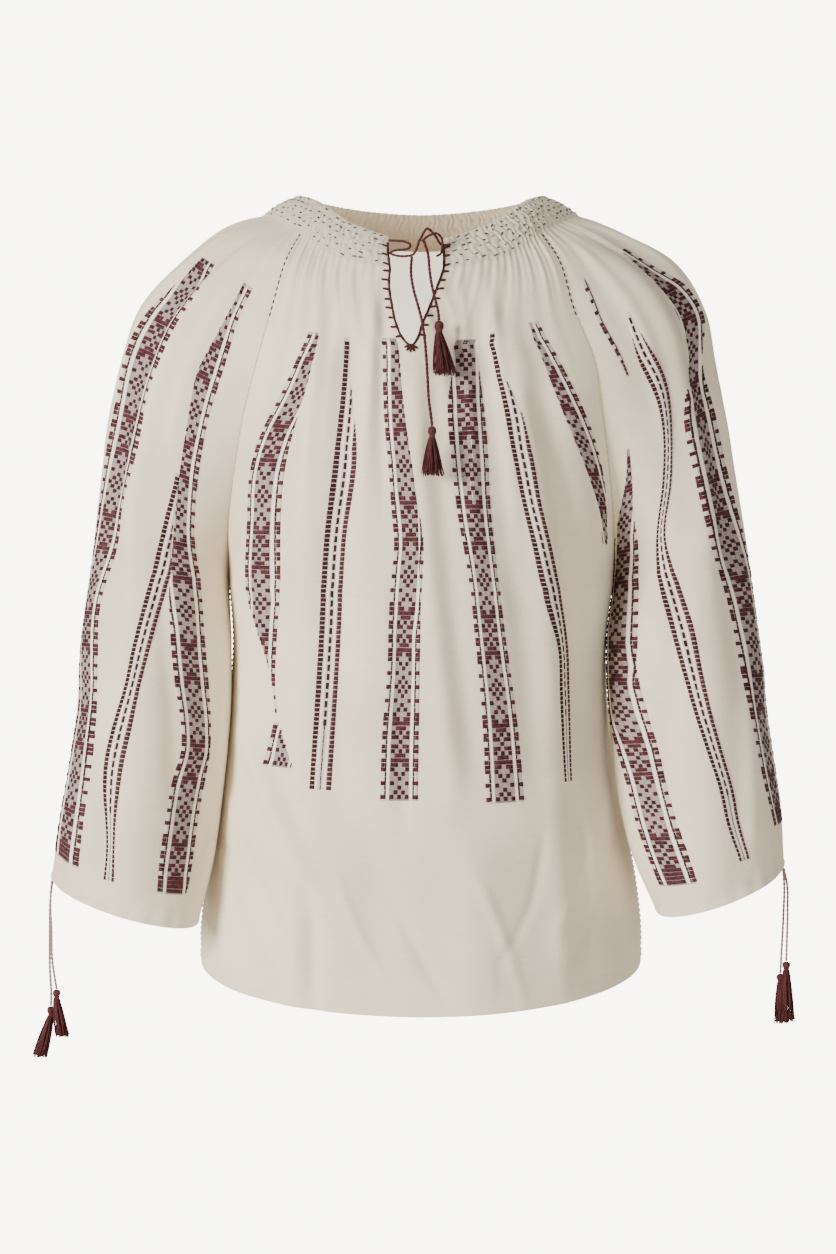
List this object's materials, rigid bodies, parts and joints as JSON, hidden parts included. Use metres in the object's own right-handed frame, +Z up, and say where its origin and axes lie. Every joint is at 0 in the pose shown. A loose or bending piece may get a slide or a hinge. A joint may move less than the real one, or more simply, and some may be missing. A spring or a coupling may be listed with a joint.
{
  "type": "folk blouse",
  "caption": "Loose raglan-sleeved cotton folk blouse with smocked round neck, tied neck slit, woven bands and drawcord sleeve hems.",
  "frame": {"origin": "centre of the neck opening, level with the sides of the neck, where the wearer's neck and shoulders hold the blouse", "axes": "+Z up the body, -Y out of the front, +X towards the viewer's right seen from the front"},
  "size_m": [0.6006, 0.2539, 0.6849],
  "materials": {
    "cream_cotton": "soft light cotton weave",
    "burgundy_cord": "twisted cotton cord",
    "mauve_cord": "twisted cotton cord",
    "tassel_thread": "cut cotton threads"
  },
  "bodies": {
    "root": {"front_panel": "cream_cotton", "back_panel": "cream_cotton", "sleeve_left": "cream_cotton", "sleeve_right": "cream_cotton", "smocked_collar": "cream_cotton", "neck_tie_lace": "burgundy_cord", "neck_tie_loop": "burgundy_cord", "neck_tie_long_end": "burgundy_cord", "neck_tie_short_end": "burgundy_cord", "neck_tassel_long": "tassel_thread", "neck_tassel_short": "tassel_thread", "cuff_cord_left_a": "mauve_cord", "cuff_cord_left_b": "mauve_cord", "cuff_cord_right_a": "mauve_cord", "cuff_cord_right_b": "mauve_cord", "cuff_tassel_left_a": "tassel_thread", "cuff_tassel_left_b": "tassel_thread", "cuff_tassel_right_a": "tassel_thread", "cuff_tassel_right_b": "tassel_thread"}
  },
  "joints": []
}
